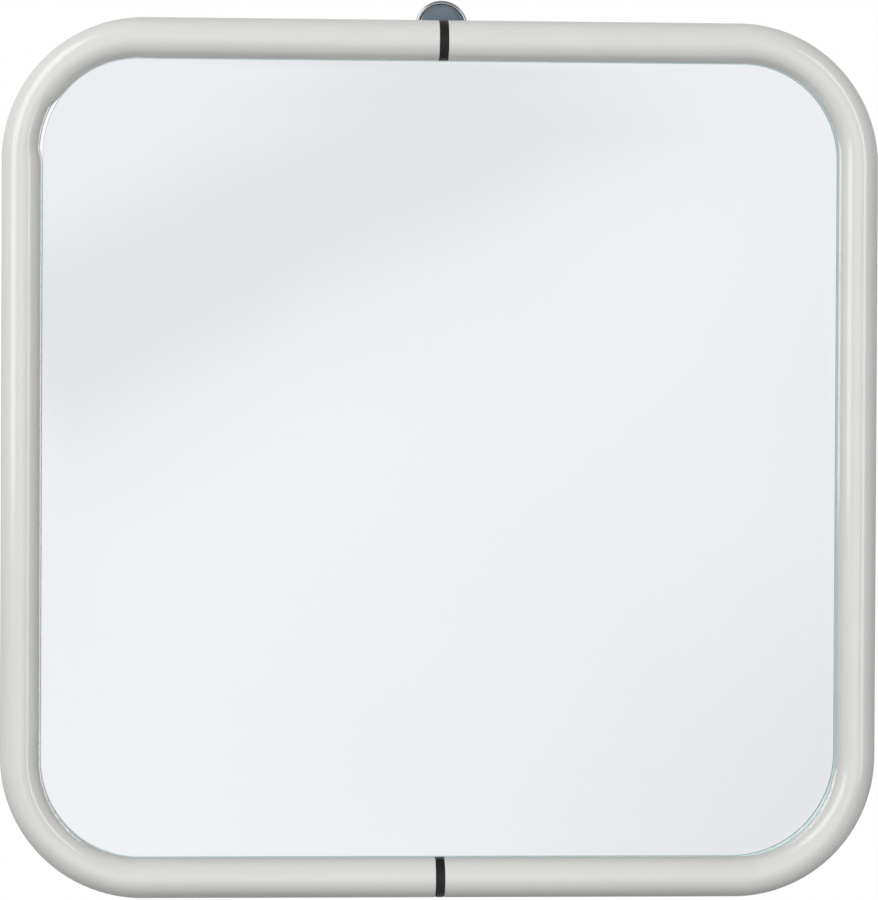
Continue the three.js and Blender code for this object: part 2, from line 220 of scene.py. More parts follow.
def cut(piece, cutter_bm, operation="DIFFERENCE"):
    """Boolean of a piece with a bmesh, applied."""
    bmesh.ops.recalc_face_normals(cutter_bm, faces=cutter_bm.faces)
    mesh = bpy.data.meshes.new("cutter")
    cutter_bm.to_mesh(mesh)
    cutter_bm.free()
    cutter = bpy.data.objects.new("cutter", mesh)
    bpy.context.scene.collection.objects.link(cutter)
    modifier = piece.modifiers.new("cut", "BOOLEAN")
    modifier.operation = operation
    modifier.solver = "EXACT"
    modifier.object = cutter
    bpy.context.view_layer.update()
    depsgraph = bpy.context.evaluated_depsgraph_get()
    result = bpy.data.meshes.new_from_object(piece.evaluated_get(depsgraph))
    piece.modifiers.remove(modifier)
    piece.data = result
    bpy.data.objects.remove(cutter)


def drill(piece, radius, start, end, x, z):
    """Round hole along Y, from start to end, about (x, z)."""
    cut(piece, turned([(0, start), (radius, start), (radius, end), (0, end)], 32, (x, z)))


# ---------------------------------------------------------------- materials

class Nodes:
    """A small helper to write a material's node tree."""

    def __init__(self, name):
        self.material = bpy.data.materials.new(name)
        self.material.use_nodes = True
        self.tree = self.material.node_tree
        self.shader = self.tree.nodes["Principled BSDF"]
        self.place = self.add("ShaderNodeTexCoord").outputs["Object"]

    def add(self, kind, **settings):
        """A node. Settings that start with in_ are its inputs."""
        node = self.tree.nodes.new(kind)
        for key, value in settings.items():
            if key.startswith("in_"):
                node.inputs[key[3:].replace("_", " ")].default_value = value
            else:
                setattr(node, key, value)
        return node

    def link(self, source, target):
        self.tree.links.new(source, target)

    def set(self, **values):
        """Plain values on the shader's own sockets."""
        for key, value in values.items():
            self.shader.inputs[key.replace("_", " ")].default_value = value

    def stretched(self, scale):
        """Object coordinates, scaled by axis."""
        mapping = self.add("ShaderNodeMapping", in_Scale=scale)
        self.link(self.place, mapping.inputs["Vector"])
        return mapping.outputs["Vector"]

    def noise(self, scale, detail=3.0, roughness=0.5, vector=None, distortion=0.0):
        node = self.add("ShaderNodeTexNoise", in_Scale=scale, in_Detail=detail,
                        in_Roughness=roughness, in_Distortion=distortion)
        self.link(vector or self.place, node.inputs["Vector"])
        return node.outputs["Fac"]

    def ramp(self, factor, stops):
        """Colour from a factor, by (position, colour) stops."""
        node = self.add("ShaderNodeValToRGB")
        elements = node.color_ramp.elements
        while len(elements) < len(stops):
            elements.new(0.5)
        for element, (position, colour) in zip(elements, stops):
            element.position = position
            element.color = (*colour, 1)
        self.link(factor, node.inputs["Fac"])
        return node.outputs["Color"]

    def spread(self, factor, low, high, start, end):
        """A factor between start and end, spread from low to high."""
        node = self.add("ShaderNodeMapRange")
        node.inputs["From Min"].default_value = start
        node.inputs["From Max"].default_value = end
        node.inputs["To Min"].default_value = low
        node.inputs["To Max"].default_value = high
        self.link(factor, node.inputs["Value"])
        return node.outputs["Result"]

    def bump(self, height, distance, strength=1.0, after=None):
        node = self.add("ShaderNodeBump", in_Strength=strength, in_Distance=distance)
        self.link(height, node.inputs["Height"])
        if after:
            self.link(after, node.inputs["Normal"])
        return node.outputs["Normal"]

    def colour(self, output):
        self.link(output, self.shader.inputs["Base Color"])

    def rough(self, output):
        self.link(output, self.shader.inputs["Roughness"])

    def normal(self, output):
        self.link(output, self.shader.inputs["Normal"])


def enamel():
    """Glossy off-white stove enamel: faint cloudiness, orange peel and a few specks in the coat."""
    m = Nodes("enamel")
    cloud = m.noise(18, 2)
    speck = m.add("ShaderNodeTexVoronoi", in_Scale=95.0, in_Randomness=1.0)
    m.link(m.place, speck.inputs["Vector"])
    speck_mask = m.ramp(speck.outputs["Distance"], [(0.0, (1, 1, 1)), (0.035, (0, 0, 0))])
    rare = m.ramp(m.noise(31, 1), [(0.62, (0, 0, 0)), (0.66, (1, 1, 1))])
    both = m.add("ShaderNodeMath", operation="MULTIPLY")
    m.link(speck_mask, both.inputs[0])
    m.link(rare, both.inputs[1])
    base = m.ramp(cloud, [(0.3, (0.725, 0.725, 0.705)), (0.7, (0.745, 0.745, 0.726))])
    mix = m.add("ShaderNodeMix", data_type="RGBA")
    m.link(both.outputs["Value"], mix.inputs["Factor"])
    m.link(base, mix.inputs["A"])
    mix.inputs["B"].default_value = (0.42, 0.41, 0.39, 1)
    m.colour(mix.outputs["Result"])
    m.rough(m.spread(m.noise(60, 3), 0.12, 0.2, 0.3, 0.7))
    peel = m.bump(m.noise(420, 2), 0.00002, 0.35)
    m.normal(m.bump(m.noise(70, 2), 0.00006, 0.25, after=peel))
    m.set(Specular_IOR_Level=0.5, Coat_Weight=0.35, Coat_Roughness=0.06, Coat_IOR=1.5)
    return m.material


def black_plastic():
    """Satin moulded black plastic with a fine spark-eroded grain."""
    m = Nodes("black_plastic")
    m.colour(m.ramp(m.noise(90, 4), [(0.3, (0.008, 0.0083, 0.008)), (0.75, (0.014, 0.0143, 0.014))]))
    m.rough(m.spread(m.noise(140, 3), 0.34, 0.5, 0.3, 0.7))
    m.normal(m.bump(m.noise(2600, 3), 0.00002, 0.4))
    m.set(Specular_IOR_Level=0.32)
    return m.material


def pane_glass():
    """Clear float glass in front of the silvering, with the faintest polishing haze."""
    m = Nodes("pane_glass")
    m.colour(m.ramp(m.noise(9, 2), [(0.3, (0.984, 0.99, 0.988)), (0.7, (0.988, 0.993, 0.991))]))
    m.rough(m.spread(m.noise(25, 3), 0.0, 0.006, 0.35, 0.75))
    m.set(Transmission_Weight=1.0, IOR=1.52)
    return m.material


def pane_edge():
    """Ground edge of the glass, sea green from the depth of glass behind it, with a faint painted glow that
    stands in for light carried inside the pane.
    """
    m = Nodes("pane_edge")
    m.colour(m.ramp(m.noise(300, 4), [(0.3, (0.5, 0.6, 0.6)), (0.7, (0.58, 0.68, 0.68))]))
    m.rough(m.spread(m.noise(800, 3), 0.3, 0.5, 0.3, 0.7))
    m.normal(m.bump(m.noise(2500, 3), 0.00003, 0.5))
    # Painted glow: this faint teal emission stands in for light carried inside the pane; the edge is no
    # lamp
    m.set(Emission_Color=(0.56, 0.7, 0.71, 1), Emission_Strength=0.3)
    return m.material


def silvering():
    """Silver film on the back of the glass."""
    m = Nodes("silvering")
    m.colour(m.ramp(m.noise(6, 2), [(0.3, (0.93, 0.935, 0.945)), (0.7, (0.945, 0.948, 0.955))]))
    m.rough(m.spread(m.noise(14, 2), 0.0, 0.004, 0.4, 0.8))
    m.set(Metallic=1.0)
    return m.material


def hardboard():
    """Brown hardboard: pressed fibres, and the mesh print of its rough side."""
    m = Nodes("hardboard")
    fibres = m.noise(420, 6, 0.7, m.stretched((0.35, 1, 1)), 1.5)
    patches = m.noise(22, 4, 0.6)
    m.colour(m.ramp(fibres, [(0.25, (0.105, 0.058, 0.03)), (0.5, (0.175, 0.1, 0.053)),
                             (0.8, (0.26, 0.165, 0.095))]))
    weave = m.add("ShaderNodeTexWave", wave_type="BANDS", bands_direction="X", in_Scale=130.0,
                  in_Distortion=0.6)
    m.link(m.place, weave.inputs["Vector"])
    weft = m.add("ShaderNodeTexWave", wave_type="BANDS", bands_direction="Z", in_Scale=130.0,
                 in_Distortion=0.6)
    m.link(m.place, weft.inputs["Vector"])
    m.rough(m.spread(patches, 0.62, 0.85, 0.3, 0.7))
    first = m.bump(fibres, 0.00012, 0.6)
    second = m.bump(weave.outputs["Fac"], 0.00008, 0.4, after=first)
    m.normal(m.bump(weft.outputs["Fac"], 0.00008, 0.4, after=second))
    return m.material


def white_plastic():
    """Slightly yellowed extruded plastic with drawing lines."""
    m = Nodes("white_plastic")
    m.colour(m.ramp(m.noise(40, 3), [(0.3, (0.62, 0.61, 0.56)), (0.7, (0.7, 0.69, 0.645))]))
    m.rough(m.spread(m.noise(120, 3), 0.38, 0.52, 0.3, 0.7))
    m.normal(m.bump(m.noise(700, 3, vector=m.stretched((0.1, 1, 1))), 0.00003, 0.4))
    return m.material


def metal(name, dark, light, rough_low, rough_high, grain=(1.0, 1.0, 1.0), grain_scale=600):
    """Plated or brushed metal, with its grain stretched by axis."""
    m = Nodes(name)
    m.colour(m.ramp(m.noise(75, 4), [(0.3, dark), (0.7, light)]))
    lines = m.noise(grain_scale, 4, 0.6, m.stretched(grain))
    m.rough(m.spread(lines, rough_low, rough_high, 0.3, 0.7))
    m.normal(m.bump(lines, 0.000015, 0.35))
    m.set(Metallic=1.0)
    return m.material


def rubber():
    """Black moulded rubber with a dusty bloom."""
    m = Nodes("rubber")
    m.colour(m.ramp(m.noise(120, 5), [(0.35, (0.014, 0.014, 0.015)), (0.8, (0.045, 0.045, 0.046))]))
    m.rough(m.spread(m.noise(200, 3), 0.62, 0.85, 0.3, 0.7))
    m.normal(m.bump(m.noise(1500, 4), 0.00004, 0.5))
    return m.material


ENAMEL = enamel()
BLACK = black_plastic()
GLASS = pane_glass()
EDGE = pane_edge()
SILVER = silvering()
BOARD = hardboard()
WHITE = white_plastic()
BLUE_STEEL = metal("blue_steel", (0.16, 0.2, 0.235), (0.2, 0.245, 0.285), 0.24, 0.36, (1, 1, 0.15))
ZINC = metal("zinc_plate", (0.5, 0.51, 0.53), (0.62, 0.63, 0.65), 0.22, 0.4)
NICKEL = metal("nickel_plate", (0.46, 0.47, 0.475), (0.52, 0.53, 0.535), 0.13, 0.2, grain_scale=900)
RUBBER = rubber()


# ---------------------------------------------------------------- frame tubes

def arc(radius, start, end, steps):
    return [(radius * cos(start + (end - start) * i / steps),
             radius * sin(start + (end - start) * i / steps)) for i in range(steps + 1)]


def slotted_section(shrink=0.0):
    """Outline of the slotted tube as (towards the middle of the frame, to the back), with the
    slot's corners eased, and both faces moved into the wall by shrink."""
    outer = TUBE - shrink
    inner = TUBE - WALL + shrink
    back, front = SLOT_BACK, SLOT_FRONT
    points = arc(outer, asin((back + LIP) / outer), tau + asin((front - LIP) / outer), 84)
    points.append((sqrt(outer ** 2 - front ** 2) - LIP, front))
    points.append((sqrt(inner ** 2 - front ** 2) + LIP, front))
    points += arc(inner, tau + asin((front - LIP) / inner), asin((back + LIP) / inner), 44)
    points.append((sqrt(inner ** 2 - back ** 2) + LIP, back))
    points.append((sqrt(outer ** 2 - back ** 2) - LIP, back))
    return points


def half_frame_stations():
    """(x, z, angle of the outward direction, progress through the upper bend, and the lower one)
    along the right half of the frame's axis, from the top joint to the lower one. Progress runs
    from 0 at the top or bottom run to 1 at the side."""
    straight = HALF - BEND - TUBE_END
    side = TOP - BOTTOM - 2 * BEND
    turn = BEND * pi / 2
    upper = (straight, straight + turn)
    lower = (upper[1] + side, upper[1] + side + turn)
    total = lower[1] + straight
    bend_steps, beyond, run_steps = 72, 3, 24
    marks = {0.0, LIP, total - LIP, total}
    for first, last in (upper, lower):
        marks.update(first + (last - first) * i / bend_steps
                     for i in range(-beyond, bend_steps + beyond + 1))
    for first, last in ((0, upper[0]), (upper[1], lower[0]), (lower[1], total)):
        marks.update(first + (last - first) * i / run_steps for i in range(1, run_steps))

    def place(s):
        if s <= upper[0]:
            return TUBE_END + s, TOP, pi / 2
        if s <= upper[1]:
            a = pi / 2 - (s - upper[0]) / BEND
            return HALF - BEND + BEND * cos(a), TOP - BEND + BEND * sin(a), a
        if s <= lower[0]:
            return HALF, TOP - BEND - (s - upper[1]), 0.0
        if s <= lower[1]:
            a = -(s - lower[0]) / BEND
            return HALF - BEND + BEND * cos(a), BOTTOM + BEND + BEND * sin(a), a
        return HALF - BEND - (s - lower[1]), BOTTOM, -pi / 2

    stations = []
    last = -1.0
    for s in sorted(marks):
        if s - last > 0.2 * MM:
            stations.append((*place(s), (s - upper[0]) / turn, (lower[1] - s) / turn))
            last = s
    return stations


def smooth_step(t):
    """0 up to t = 0, 1 from t = 1, and smooth between."""
    t = min(max(t, 0), 1)
    return t * t * (3 - 2 * t)


def mid_bend(progress):
    """1 half-way round a bend and 0 at its ends, so that a pane with a smaller corner still fits."""
    a = min(max(progress, 0), 1) * pi / 2
    return (cos(a) + sin(a) - 1) / (sqrt(2) - 1)


def squeeze(side, upper, lower):
    """How far the inside of the tube is pushed in at a station."""
    first, second = (SQUEEZED[0], SQUEEZED[3]) if side > 0 else (SQUEEZED[1], SQUEEZED[2])
    total = first * mid_bend(upper) + second * mid_bend(lower)
    if side < 0:
        start, full, still, end = DENT_SPAN
        rise = smooth_step((upper - start) / (full - start))
        fall = smooth_step((end - upper) / (end - still))
        total += DENT * rise * fall
    return total


def frame_tube(side, name):
    """Half of the frame: side is -1 for the left and 1 for the right."""
    stations = half_frame_stations()
    last = len(stations) - 1
    rings = []
    for k, (x, z, a, upper, lower) in enumerate(stations):
        inner = 1 - squeeze(side, upper, lower) / TUBE
        outer = 1 - OUTER_SQUEEZED / TUBE * max(mid_bend(upper), mid_bend(lower))
        ring = []
        for inward, back in slotted_section(LIP if k in (0, last) else 0.0):
            inward *= inner if inward > 0 else outer
            ring.append((side * (x - inward * cos(a)), AXIS_Y + back, z - inward * sin(a)))
        rings.append(ring)
    bm = bmesh.new()
    bridge(bm, rings)
    piece = new_piece(f"{name}_enamelled", bm, [ENAMEL], name)
    bumper_hole = 2.5 * MM
    for offset, z, radius in ((SCREW_OFFSET, TOP, SCREW_HOLE), (SCREW_OFFSET, BOTTOM, SCREW_HOLE),
                              (BUMPER_OFFSET, BOTTOM, bumper_hole)):
        drill(piece, radius, AXIS_Y + TUBE / 2, AXIS_Y + TUBE + MM, side * offset, z)
    shade_smooth(piece.data)


frame_tube(-1, "tube_left")
frame_tube(1, "tube_right")


# ---------------------------------------------------------------- joiners

def plug_outline(radius, seat, steps=48):
    """D-shaped outline (to the back, away from the pane) of a plug in the tube's bore."""
    opening = asin(seat / radius)
    return arc(radius, -opening, pi + opening, steps)


def along_x(bm, outlines, middle, up):
    """Closed solid through outlines given as (outline, x). up is 1 where the pane is below."""
    rings = [[(x, AXIS_Y + y, middle + up * z) for y, z in outline] for outline, x in outlines]
    bridge(bm, rings)


def joiner(name, middle, up):
    """Joiner of the two tubes: a collar that shows between them, and a plug in their bores."""
    half_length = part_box(name)[1].x
    collar_half = TUBE_END - CLEAR
    collar = TUBE - 0.03 * MM
    bore = TUBE - WALL - 2 * CLEAR
    ease = 0.35 * MM

    def collar_outline(radius):
        points = arc(radius, -acos(SLOT_BACK / radius), tau - acos(SLOT_FRONT / radius), 96)
        return points + [(SLOT_FRONT, -SEAT_DEPTH), (SLOT_BACK, -SEAT_DEPTH)]

    bm = bmesh.new()
    along_x(bm, [(collar_outline(TUBE - ease), -collar_half),
                 (collar_outline(collar), ease - collar_half),
                 (collar_outline(collar), collar_half - ease),
                 (collar_outline(TUBE - ease), collar_half)], middle, up)
    piece = new_piece(f"{name}_moulded", bm, [BLACK], name)
    taper = 1.2 * MM
    spigot = bmesh.new()
    along_x(spigot, [(plug_outline(bore - taper / 2, SEAT_DEPTH - taper / 2), -half_length),
                     (plug_outline(bore, SEAT_DEPTH), taper - half_length),
                     (plug_outline(bore, SEAT_DEPTH), half_length - taper),
                     (plug_outline(bore - taper / 2, SEAT_DEPTH - taper / 2), half_length)], middle, up)
    cut(piece, spigot, "UNION")
    pilot = 2.05 * MM
    for side in (-1, 1):
        drill(piece, pilot, AXIS_Y - 2 * MM, AXIS_Y + TUBE, side * SCREW_OFFSET, middle)
    shade_smooth(piece.data)


joiner("joiner_top", TOP, 1)
joiner("joiner_bottom", BOTTOM, -1)


# ---------------------------------------------------------------- pane, board, beads, packers

def pane():
    """The bevelled pane: glass in front, ground round the edge, silvered behind."""
    front, back = pane_low.y, pane_high.y
    corner = BEND - TUBE - PANE_CLEAR
    hair = 0.05 * MM  # the bevel stops this short of its depth, which parts its faces from the edge's

    def outline(inset, growth=(0, 0, 0, 0)):
        radii = [corner - squeezed / (sqrt(2) - 1) - inset + grown
                 for squeezed, grown in zip(SQUEEZED, growth)]
        return rounded_square(PANE_HALF - inset, PANE_HALF - inset, radii, 40)

    bm = slab([(outline(BEVEL_WIDTH), front), (outline(ARRIS, ARRIS_GROWTH), front + BEVEL_DEPTH - hair),
               (outline(0), front + BEVEL_DEPTH + ARRIS), (outline(0), back - ARRIS),
               (outline(ARRIS), back)], PANE_MIDDLE)
    bmesh.ops.recalc_face_normals(bm, faces=bm.faces)
    bm.faces.ensure_lookup_table()
    for face in bm.faces:
        heights = [v.co.y for v in face.verts]
        if min(heights) > back - ARRIS / 2:
            face.material_index = 2
        elif max(heights) > front + BEVEL_DEPTH:
            face.material_index = 1
    new_piece("mirror_pane", bm, [GLASS, EDGE, SILVER], "mirror_glass", smooth=radians(6))


def board_outline(inset):
    """The pane's outline less a margin, with a tongue on each side that reaches into the slot."""
    low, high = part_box("backing_board")
    reach = (high.x - low.x) / 2 - inset
    half = PANE_HALF - BOARD_MARGIN - inset
    radius = BEND - TUBE - CLEAR - inset
    tongue = TONGUE_HALF - inset
    points = []
    for quarter in range(4):
        side = [(reach, -tongue), (reach, tongue), (half, tongue)]
        side += [(half - radius + radius * cos(a), half - radius + radius * sin(a))
                 for a in (pi / 2 * i / 24 for i in range(25))]
        side.append((tongue, half))
        for _ in range(quarter):
            side = [(-z, x) for x, z in side]
        points += side
    return points


def backing():
    """The hardboard that the pane is bonded to."""
    low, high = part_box("backing_board")
    ease = 0.4 * MM
    bm = slab([(board_outline(ease), low.y), (board_outline(0), low.y + ease),
               (board_outline(0), high.y - ease), (board_outline(ease), high.y)], (low + high) / 2)
    new_piece("backing_hardboard", bm, [BOARD], "backing_board")


def bead(name, quarter):
    """Retaining bead of one run: made for the top run, then turned about the frame's middle."""
    low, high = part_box("bead_top")
    board_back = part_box("backing_board")[1].y
    touch = TUBE + CLEAR
    foot = board_back + CLEAR - AXIS_Y
    height = 1.9 * MM
    reach = 13.2 * MM
    lip = foot + height / 2
    section = arc(touch, -acos(foot / touch), -acos(lip / touch), 6)
    start = Vector(section[-1])
    control = Vector((foot + 1.5 * height, -reach))
    end = Vector((foot, -reach))
    steps = 14
    for i in range(1, steps + 1):
        t = i / steps
        section.append(tuple(start * (1 - t) ** 2 + control * 2 * t * (1 - t) + end * t ** 2))
    half_length = high.x
    ease = 1.0 * MM
    middle = Vector((sum(p[0] for p in section), sum(p[1] for p in section))) / len(section)
    small = [tuple(middle + (Vector(p) - middle) * 0.6) for p in section]
    bm = bmesh.new()
    along_x(bm, [(small, -half_length), (section, ease - half_length),
                 (section, half_length - ease), (small, half_length)], TOP, 1)
    turn = Matrix.Rotation(quarter * pi / 2, 4, "Y")
    bm.transform(Matrix.Translation(MIDDLE) @ turn @ Matrix.Translation(-MIDDLE))
    new_piece(f"{name}_strip", bm, [WHITE], name)


pane()
backing()
for quarter, name in enumerate(("bead_top", "bead_right", "bead_bottom", "bead_left")):
    bead(name, quarter)
# The packers keep their CAD shapes, which are hidden in the slots
for packer in ("packer_side_right", "packer_side_left", "packer_lower_right", "packer_lower_left"):
    frame["nodes"][packer].data.materials.clear()
    frame["nodes"][packer].data.materials.append(WHITE)


# ---------------------------------------------------------------- hanger

saddle_low, saddle_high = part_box("hanger_saddle")
plate_low, plate_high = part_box("hanger_plate")
ring_low, ring_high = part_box("hanger_ring")
clip_low, clip_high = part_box("hanger_clip")
rivet_low, rivet_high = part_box("hanger_rivet")
RING_MIDDLE = (ring_low + ring_high) / 2
RING = (ring_high.x - ring_low.x) / 2 - RING_WIRE
PIVOT = Vector((0, RING_MIDDLE.y, ring_low.z + RING_WIRE))
RIVET_Z = (rivet_low.z + rivet_high.z) / 2
CLIP_THICKNESS = 0.9 * MM


def saddle():
    """Moulded block between the tubes' backs and the hanger plate."""
    seat = TUBE + CLEAR
    back = saddle_high.y - AXIS_Y
    chamfer = 1.2 * MM

    def outline(inset):
        half_height = (saddle_high.z - saddle_low.z) / 2 - inset
        opening = asin(half_height / seat)
        points = arc(seat, opening, -opening, 24)
        square = [points[-1], (back - inset, -half_height), (back - inset, half_height), points[0]]
        return points + with_rounded(square, {1: chamfer, 2: chamfer})[1:-1]

    ease = 0.5 * MM
    bm = bmesh.new()
    half_length = saddle_high.x
    along_x(bm, [(outline(ease), -half_length), (outline(0), ease - half_length),
                 (outline(0), half_length - ease), (outline(ease), half_length)], TOP, 1)
    piece = new_piece("hanger_saddle_moulded", bm, [BLACK], "hanger_saddle")
    beyond = saddle_high.y + MM
    for side in (-1, 1):
        drill(piece, SCREW_HOLE, saddle_low.y, beyond, side * SCREW_OFFSET, TOP)
    pocket, pocket_depth = 3 * MM, 1.2 * MM
    drill(piece, pocket, saddle_high.y - pocket_depth, beyond, 0, RIVET_Z)
    shade_smooth(piece.data)


def hanger_plate():
    """Stamped strap with a dished disc that shows above the top joint."""
    front, back = plate_low.y, plate_high.y
    ease = 0.2 * MM
    half_height = 7 * MM
    corner = 5 * MM

    def strap(inset):
        return rounded_square(plate_high.x - inset, half_height - inset, corner - inset, 12)

    bm = slab([(strap(ease), front), (strap(0), front + ease),
               (strap(0), back - ease), (strap(ease), back)], Vector((0, 0, TOP)))
    piece = new_piece("hanger_plate_stamped", bm, [BLUE_STEEL], "hanger_plate")
    dish = 0.45 * MM
    # Wall of the dish, as radii in millimetres and shares of its depth
    wall = [(8.4, 1), (9.2, 0.95), (9.9, 0.78), (10.5, 0.52), (11, 0.25), (11.35, 0.07), (11.6, 0)]
    profile = [(0, front + dish)] + [(r * MM, front + dish * depth) for r, depth in wall]
    profile += [(DISC - 0.1 * MM, front + 0.07 * MM), (DISC, front + 0.3 * MM), (DISC, back - 0.3 * MM),
                (DISC - 0.1 * MM, back - 0.08 * MM), (DISC - 0.35 * MM, back), (0, back)]
    cut(piece, turned(profile, 128, (0, RING_MIDDLE.z)), "UNION")
    hole = 2.05 * MM
    for side, z, radius in ((-1, TOP, hole), (1, TOP, hole), (0, RIVET_Z, RIVET_HOLE)):
        drill(piece, radius, front - MM, back + MM, side * SCREW_OFFSET, z)
    shade_smooth(piece.data, radians(35))


def hanger_clip():
    """Strap curled under the wire of the ring, with its tab riveted to the plate."""
    outer = PIVOT.y - clip_low.y
    bore = outer - CLIP_THICKNESS
    curl = pi / 2
    tab = clip_high.z - PIVOT.z

    def outline(inset):
        outside = arc(outer - inset, -pi, curl, 48)
        inside = arc(bore + inset, curl, -pi, 48)
        return [(inset - outer, tab - inset)] + outside + inside + [(-bore - inset, tab - inset)]

    half_width = clip_high.x
    ease = 0.15 * MM
    bm = bmesh.new()
    rings = [[(x, PIVOT.y + y, PIVOT.z + z) for y, z in outline(inset)]
             for inset, x in ((ease, -half_width), (0, ease - half_width), (0, half_width - ease),
                              (ease, half_width))]
    bridge(bm, rings)
    piece = new_piece("hanger_clip_curled", bm, [ZINC], "hanger_clip")
    drill(piece, RIVET_HOLE, clip_low.y - MM, PIVOT.y - bore + MM, 0, RIVET_Z)
    shade_smooth(piece.data)


def hanger_rivet():
    """Rivet through plate and clip, with its domed head at the back."""
    front = plate_low.y - CLEAR
    back = plate_high.y + CLIP_THICKNESS + 2 * CLEAR
    head = 2.4 * MM
    shank = 1.2 * MM
    rim = back + 0.15 * MM
    dome = [(head * cos(a), rim + (rivet_high.y - rim) * sin(a))
            for a in (pi / 2 * i / 10 for i in range(10))]
    profile = [(0, rivet_low.y), (head - 0.3 * MM, rivet_low.y), (head, rivet_low.y + 0.25 * MM),
               (head, front), (shank, front), (shank, back), (head - 0.1 * MM, back)]
    profile += dome + [(0, rivet_high.y)]
    new_piece("hanger_rivet_domed", turned(profile, 48, (0, RIVET_Z)), [ZINC], "hanger_rivet")


def hanger_ring():
    """Wire ring: it rides on its own body and turns in the clip."""
    bm = bmesh.new()
    around, across = 160, 32
    loops = []
    for i in range(around):
        a = tau * i / around
        loop = []
        for j in range(across):
            b = tau * j / across
            reach = RING + RING_WIRE * cos(b)
            loop.append(bm.verts.new((reach * sin(a), RING_MIDDLE.y + RING_WIRE * sin(b),
                                      RING_MIDDLE.z + reach * cos(a))))
        loops.append(loop)
    for i in range(around):
        for j in range(across):
            first, second = loops[i], loops[(i + 1) % around]
            k = (j + 1) % across
            bm.faces.new((first[j], first[k], second[k], second[j]))
    new_piece("hanger_ring_wire", bm, [NICKEL], "hanger_ring", body="hanger_ring")


saddle()
hanger_plate()
hanger_clip()
hanger_rivet()
hanger_ring()


# ---------------------------------------------------------------- screws and bumpers

def screw(node):
    """Pan-head screw with a cross recess and a cut thread."""
    low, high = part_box(node)
    x, z = (low.x + high.x) / 2, (low.z + high.z) / 2
    head = (high.x - low.x) / 2
    top = high.y
    rim, dome = 0.5 * MM, 1.7 * MM
    under = top - rim - dome
    shank = 1.75 * MM
    crown = [(head * sin(a), under + rim + dome * cos(a))
             for a in (pi / 2 * i / 12 for i in range(12, 0, -1))]
    profile = [(0, low.y), (0.5 * MM, low.y + 0.5 * MM), (shank * 0.86, low.y + 2.4 * MM)]
    pitch = 1.1 * MM
    y = low.y + 3 * MM
    while y + pitch < under - 2 * MM:
        profile += [(shank * 0.8, y), (shank, y + pitch * 0.45), (shank, y + pitch * 0.55)]
        y += pitch
    profile += [(shank * 0.8, y), (shank * 0.9, y + pitch), (shank * 0.9, under), (head - 0.15 * MM, under),
                (head, under + 0.15 * MM)] + crown + [(0, top)]
    piece = new_piece(f"{node}_plated", turned(profile, 48, (x, z)), [ZINC], node)
    span, width, depth = 1.7 * MM, 0.42 * MM, 1.3 * MM
    for dx, dz in ((span, width), (width, span)):
        blade = bmesh.new()
        rings = [[(x + sx * dx * k, y0, z + sz * dz * k)
                  for sx, sz in ((1, 1), (-1, 1), (-1, -1), (1, -1))]
                 for y0, k in ((top - depth, 0.45), (top + MM, 1.25))]
        bridge(blade, rings)
        cut(piece, blade)
    shade_smooth(piece.data, radians(40))


def bumper(node):
    """Push-in rubber bumper, dished a little where it meets the wall."""
    low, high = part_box(node)
    x, z = (low.x + high.x) / 2, (low.z + high.z) / 2
    radius = (high.x - low.x) / 2
    wall = high.y
    seat = AXIS_Y + TUBE + CLEAR
    stem, barb = 2.2 * MM, 3 * MM
    inside = seat - 2.6 * MM
    outline = [(0, low.y), (barb / 2, low.y), (barb, inside - 0.6 * MM), (barb, inside), (stem, inside),
               (stem, seat), (radius, seat), (radius, wall), (radius - 2.6 * MM, wall),
               (radius - 3.2 * MM, wall - 0.35 * MM), (0, wall - 0.45 * MM)]
    profile = with_rounded(outline, {1: 0.3 * MM, 2: 0.3 * MM, 6: 0.4 * MM, 7: 1.1 * MM, 8: 0.2 * MM})
    new_piece(f"{node}_rubber", turned(profile, 72, (x, z)), [RUBBER], node)


for node in ("hanger_screw_left", "hanger_screw_right", "joint_screw_left", "joint_screw_right"):
    screw(node)
for node in ("bumper_left", "bumper_right"):
    bumper(node)


# ---------------------------------------------------------------- studio

def look_at(obj, target):
    """Turn a lamp to face a point."""
    obj.rotation_euler = (target - obj.location).to_track_quat("-Z", "Y").to_euler()


def camera():
    """A long lens 2.25 m away, a little to the left and a little above the middle of the frame."""
    distance, left, above, roll = 2.25, radians(3.721), radians(0.802), radians(0.273)
    data = bpy.data.cameras.new("camera")
    data.sensor_width = 36
    data.lens = 164.42
    data.shift_x = -0.0027
    data.shift_y = 0.0104
    obj = bpy.data.objects.new("camera", data)
    bpy.context.scene.collection.objects.link(obj)
    away = Vector((-sin(left) * cos(above), -cos(left) * cos(above), sin(above)))
    obj.location = MIDDLE + distance * away
    facing = (-away).to_track_quat("-Z", "Y").to_matrix().to_4x4()
    turned_by = facing @ Matrix.Rotation(roll, 4, "Z")
    obj.matrix_world = Matrix.Translation(obj.location) @ turned_by
    bpy.context.scene.camera = obj


def softbox(name, azimuth, elevation, distance, size, radiance):
    """Rectangular softbox aimed at the middle of the frame. Azimuth is from straight in front,
    towards the right, and radiance is what its face shows."""
    data = bpy.data.lights.new(name, "AREA")
    data.shape = "RECTANGLE"
    data.size, data.size_y = size
    data.energy = radiance * pi * size[0] * size[1]
    obj = bpy.data.objects.new(name, data)
    bpy.context.scene.collection.objects.link(obj)
    a, e = radians(azimuth), radians(elevation)
    obj.location = MIDDLE + distance * Vector((sin(a) * cos(e), -cos(a) * cos(e), sin(e)))
    look_at(obj, MIDDLE)
    return obj


def maths_for(tree):
    """The function that adds a maths node to a node tree and gives its output."""
    def maths(operation, first, second):
        node = tree.nodes.new("ShaderNodeMath")
        node.operation = operation
        for socket, value in zip(node.inputs, (first, second)):
            if isinstance(value, (int, float)):
                socket.default_value = value
            else:
                tree.links.new(value, socket)
        return node.outputs["Value"]
    return maths


